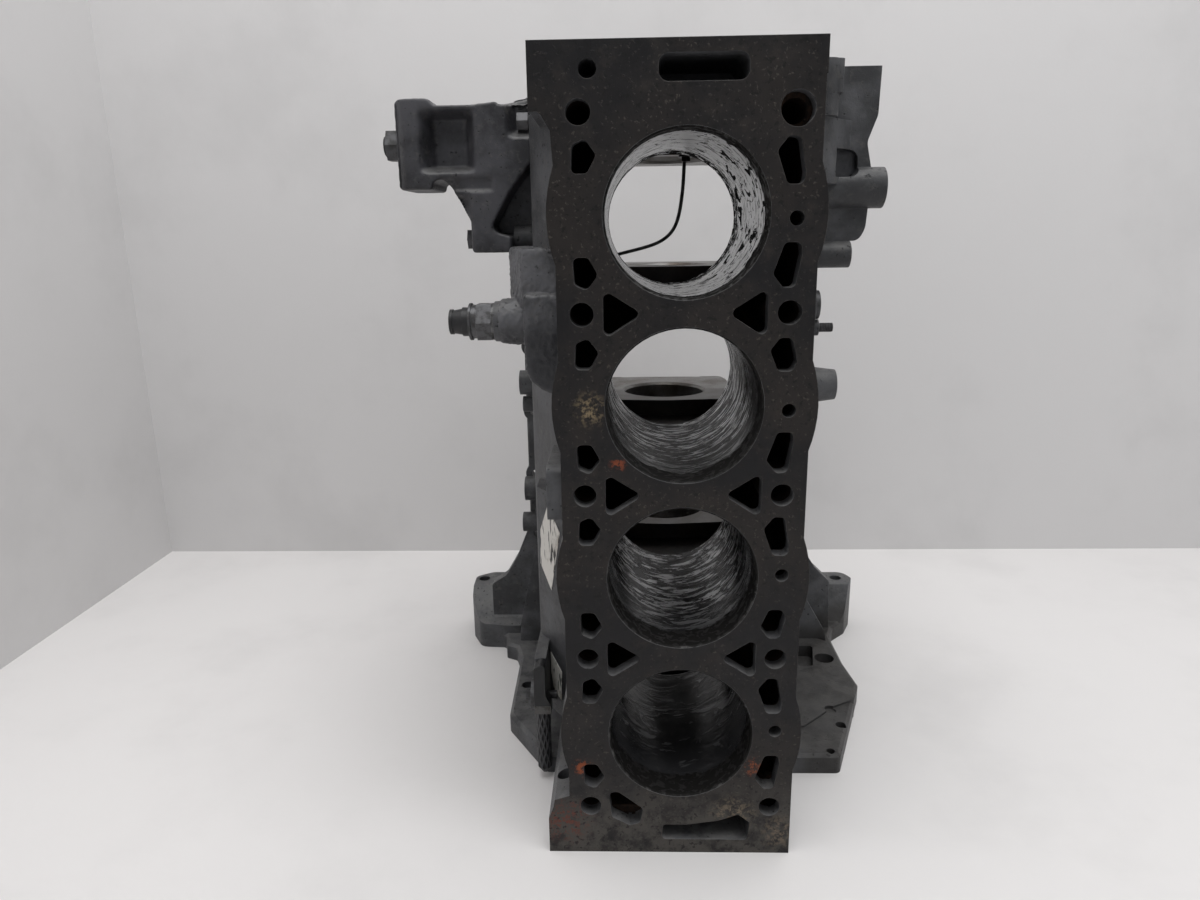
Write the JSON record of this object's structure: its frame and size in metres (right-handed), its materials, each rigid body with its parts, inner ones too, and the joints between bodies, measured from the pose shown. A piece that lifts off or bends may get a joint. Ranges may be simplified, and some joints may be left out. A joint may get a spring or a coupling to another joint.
{
  "type": "engine block",
  "caption": "Inline engine block casting with round cylinder bores, deck passages, crankcase with bearing caps, end flange and bolted side bracket",
  "frame": {"origin": "on the crankshaft axis, in the plane of the gearbox face", "axes": "crankshaft axis +Z from the gearbox face up to the timing end; the deck faces -Y and the open crankcase +Y; +X is the oil gallery side"},
  "size_m": [0.3733, 0.336, 0.47],
  "materials": {
    "cast_block": "oily cast iron, machined faces browned",
    "cast_cap": "oily cast iron with machined sides",
    "bolt_steel": "oiled steel",
    "plug_steel": "plated steel, dulled",
    "washer_metal": "soft metal ring",
    "switch_steel": "zinc plated steel",
    "black_plastic": "matt black plastic",
    "brass": "dull brass",
    "cast_bracket": "satin grey paint over a rough casting",
    "sleeve_rubber": "woven black sleeve",
    "label_paper": "white paper, slightly soiled"
  },
  "bodies": {
    "root": {"cylinder_block": "cast_block", "main_bearing_cap_1": "cast_cap", "main_bearing_cap_2": "cast_cap", "main_bearing_cap_3": "cast_cap", "main_bearing_cap_4": "cast_cap", "main_bearing_cap_5": "cast_cap", "main_cap_bolts": "bolt_steel", "cap_dowels": "bolt_steel", "core_plugs_right": "plug_steel", "core_plugs_left": "plug_steel", "front_gallery_plug": "plug_steel", "rear_gallery_plug": "plug_steel", "boss_end_plug": "plug_steel", "right_round_plug": "plug_steel", "right_stud": "bolt_steel", "oil_switch_washer": "washer_metal", "oil_switch_body": "switch_steel", "oil_switch_insulator": "black_plastic", "oil_switch_terminal": "brass", "mount_bracket": "cast_bracket", "bracket_top_bolts": "bolt_steel", "bracket_foot_bolt": "bolt_steel", "bracket_end_stud": "bolt_steel", "bracket_end_nut": "bolt_steel", "side_sensor": "plug_steel", "sensor_bolt": "bolt_steel", "sensor_plug": "black_plastic", "plug_clip": "plug_steel", "cable_sleeve": "sleeve_rubber", "upper_label": "label_paper", "lower_label": "label_paper", "web_strip": "plug_steel", "strip_screw": "bolt_steel"}
  },
  "joints": []
}
